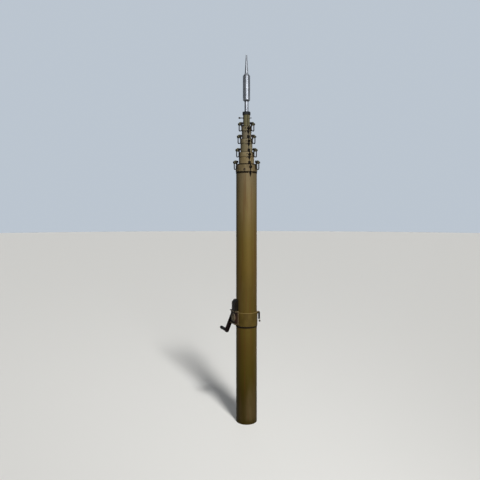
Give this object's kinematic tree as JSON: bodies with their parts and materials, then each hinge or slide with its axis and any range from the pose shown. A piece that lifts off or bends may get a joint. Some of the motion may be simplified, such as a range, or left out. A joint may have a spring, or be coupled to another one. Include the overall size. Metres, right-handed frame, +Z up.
{
  "type": "telescopic mast",
  "caption": "Retracted crank-up tube mast with split head bands, guy shackles, a side winch and a pointed air terminal on its head.",
  "frame": {"origin": "centre of the base tube's lower end, on the foot face", "axes": "+Z up the mast; -Y is the side that faces the viewer; the winch is on the -X side"},
  "size_m": [0.2798, 0.2057, 2.475],
  "materials": {
    "olive_paint": "matt olive paint, worn",
    "band_paint": "matt olive paint",
    "black_nylon": "moulded",
    "dark_steel": "blackened",
    "black_paint": "satin black",
    "grip_plastic": "moulded",
    "bright_steel": "turned, polished"
  },
  "bodies": {
    "base": {"base_tube": "olive_paint", "base_plug": "olive_paint", "head_band_0": "band_paint", "guide_bush_0": "black_nylon", "clamp_sleeve": "band_paint", "winch_bracket": "band_paint", "gear_case": "olive_paint", "rope_guard": "black_paint"},
    "section_1": {"section_tube_1": "olive_paint", "foot_ring_1": "black_nylon", "head_band_1": "band_paint", "guide_bush_1": "black_nylon"},
    "section_2": {"section_tube_2": "olive_paint", "foot_ring_2": "black_nylon", "head_band_2": "band_paint", "guide_bush_2": "black_nylon"},
    "section_3": {"section_tube_3": "olive_paint", "foot_ring_3": "black_nylon", "head_band_3": "band_paint", "guide_bush_3": "black_nylon"},
    "section_4": {"section_tube_4": "olive_paint", "foot_ring_4": "black_nylon", "head_fitting": "black_paint", "terminal_rod": "bright_steel", "terminal_body": "bright_steel", "terminal_shoulder": "bright_steel", "terminal_tip": "bright_steel"},
    "shackle_0_left": {"shackle_0_left": "dark_steel"},
    "shackle_0_right": {"shackle_0_right": "dark_steel"},
    "shackle_0_back": {"shackle_0_back": "dark_steel"},
    "shackle_1_left": {"shackle_1_left": "dark_steel"},
    "shackle_1_right": {"shackle_1_right": "dark_steel"},
    "shackle_1_back": {"shackle_1_back": "dark_steel"},
    "shackle_2_left": {"shackle_2_left": "dark_steel"},
    "shackle_2_right": {"shackle_2_right": "dark_steel"},
    "shackle_2_back": {"shackle_2_back": "dark_steel"},
    "shackle_3_left": {"shackle_3_left": "dark_steel"},
    "shackle_3_right": {"shackle_3_right": "dark_steel"},
    "shackle_3_back": {"shackle_3_back": "dark_steel"},
    "clamp_lever": {"clamp_lever": "black_paint"},
    "crank": {"crank_arm": "black_paint"},
    "grip": {"crank_grip": "grip_plastic"},
    "lock_pin": {"lock_pin": "dark_steel"}
  },
  "joints": [
    {"name": "section_1_slide", "type": "slide", "parent": "base", "child": "section_1", "axis": [0, 0, 1], "range_m": [0, 1.4]},
    {"name": "section_2_slide", "type": "slide", "parent": "section_1", "child": "section_2", "axis": [0, 0, 1], "range_m": [0, 1.4]},
    {"name": "section_3_slide", "type": "slide", "parent": "section_2", "child": "section_3", "axis": [0, 0, 1], "range_m": [0, 1.4]},
    {"name": "section_4_slide", "type": "slide", "parent": "section_3", "child": "section_4", "axis": [0, 0, 1], "range_m": [0, 1.4]},
    {"name": "shackle_0_left_swing", "type": "hinge", "parent": "base", "child": "shackle_0_left", "pos_m": [-0.07318, -0.04225, 1.741], "axis": [-0.5, 0.866, 0], "range_deg": [0, 85]},
    {"name": "shackle_0_right_swing", "type": "hinge", "parent": "base", "child": "shackle_0_right", "pos_m": [0.07318, -0.04225, 1.741], "axis": [-0.5, -0.866, 0], "range_deg": [0, 85]},
    {"name": "shackle_0_back_swing", "type": "hinge", "parent": "base", "child": "shackle_0_back", "pos_m": [0, 0.0845, 1.741], "axis": [1, 0, 0], "range_deg": [0, 85]},
    {"name": "shackle_1_left_swing", "type": "hinge", "parent": "section_1", "child": "shackle_1_left", "pos_m": [-0.05716, -0.033, 1.825], "axis": [-0.5, 0.866, 0], "range_deg": [0, 85]},
    {"name": "shackle_1_right_swing", "type": "hinge", "parent": "section_1", "child": "shackle_1_right", "pos_m": [0.05716, -0.033, 1.825], "axis": [-0.5, -0.866, 0], "range_deg": [0, 85]},
    {"name": "shackle_1_back_swing", "type": "hinge", "parent": "section_1", "child": "shackle_1_back", "pos_m": [0, 0.066, 1.825], "axis": [1, 0, 0], "range_deg": [0, 85]},
    {"name": "shackle_2_left_swing", "type": "hinge", "parent": "section_2", "child": "shackle_2_left", "pos_m": [-0.04763, -0.0275, 1.916], "axis": [-0.5, 0.866, 0], "range_deg": [0, 85]},
    {"name": "shackle_2_right_swing", "type": "hinge", "parent": "section_2", "child": "shackle_2_right", "pos_m": [0.04763, -0.0275, 1.916], "axis": [-0.5, -0.866, 0], "range_deg": [0, 85]},
    {"name": "shackle_2_back_swing", "type": "hinge", "parent": "section_2", "child": "shackle_2_back", "pos_m": [0, 0.055, 1.916], "axis": [1, 0, 0], "range_deg": [0, 85]},
    {"name": "shackle_3_left_swing", "type": "hinge", "parent": "section_3", "child": "shackle_3_left", "pos_m": [-0.04027, -0.02325, 2.001], "axis": [-0.5, 0.866, 0], "range_deg": [0, 85]},
    {"name": "shackle_3_right_swing", "type": "hinge", "parent": "section_3", "child": "shackle_3_right", "pos_m": [0.04027, -0.02325, 2.001], "axis": [-0.5, -0.866, 0], "range_deg": [0, 85]},
    {"name": "shackle_3_back_swing", "type": "hinge", "parent": "section_3", "child": "shackle_3_back", "pos_m": [0, 0.0465, 2.001], "axis": [1, 0, 0], "range_deg": [0, 85]},
    {"name": "clamp_lever_swing", "type": "hinge", "parent": "base", "child": "clamp_lever", "pos_m": [0.0852, 0, 0.731], "axis": [0, -1, 0], "range_deg": [0, 100]},
    {"name": "crank_turn", "type": "hinge", "parent": "base", "child": "crank", "pos_m": [-0.09354, 0.04443, 0.703], "axis": [-0.4226, 0.9063, 0], "continuous": true},
    {"name": "grip_turn", "type": "hinge", "parent": "crank", "child": "grip", "pos_m": [-0.15665, 0.079, 0.60267], "axis": [-0.4226, 0.9063, 0], "continuous": true},
    {"name": "lock_pin_pull", "type": "slide", "parent": "section_4", "child": "lock_pin", "axis": [-1, 0, 0], "range_m": [0, 0.06]}
  ],
  "couplings": [
    {"joint": "section_2_slide", "follows": "section_1_slide", "ratio": 1},
    {"joint": "section_3_slide", "follows": "section_1_slide", "ratio": 1},
    {"joint": "section_4_slide", "follows": "section_1_slide", "ratio": 1}
  ]
}
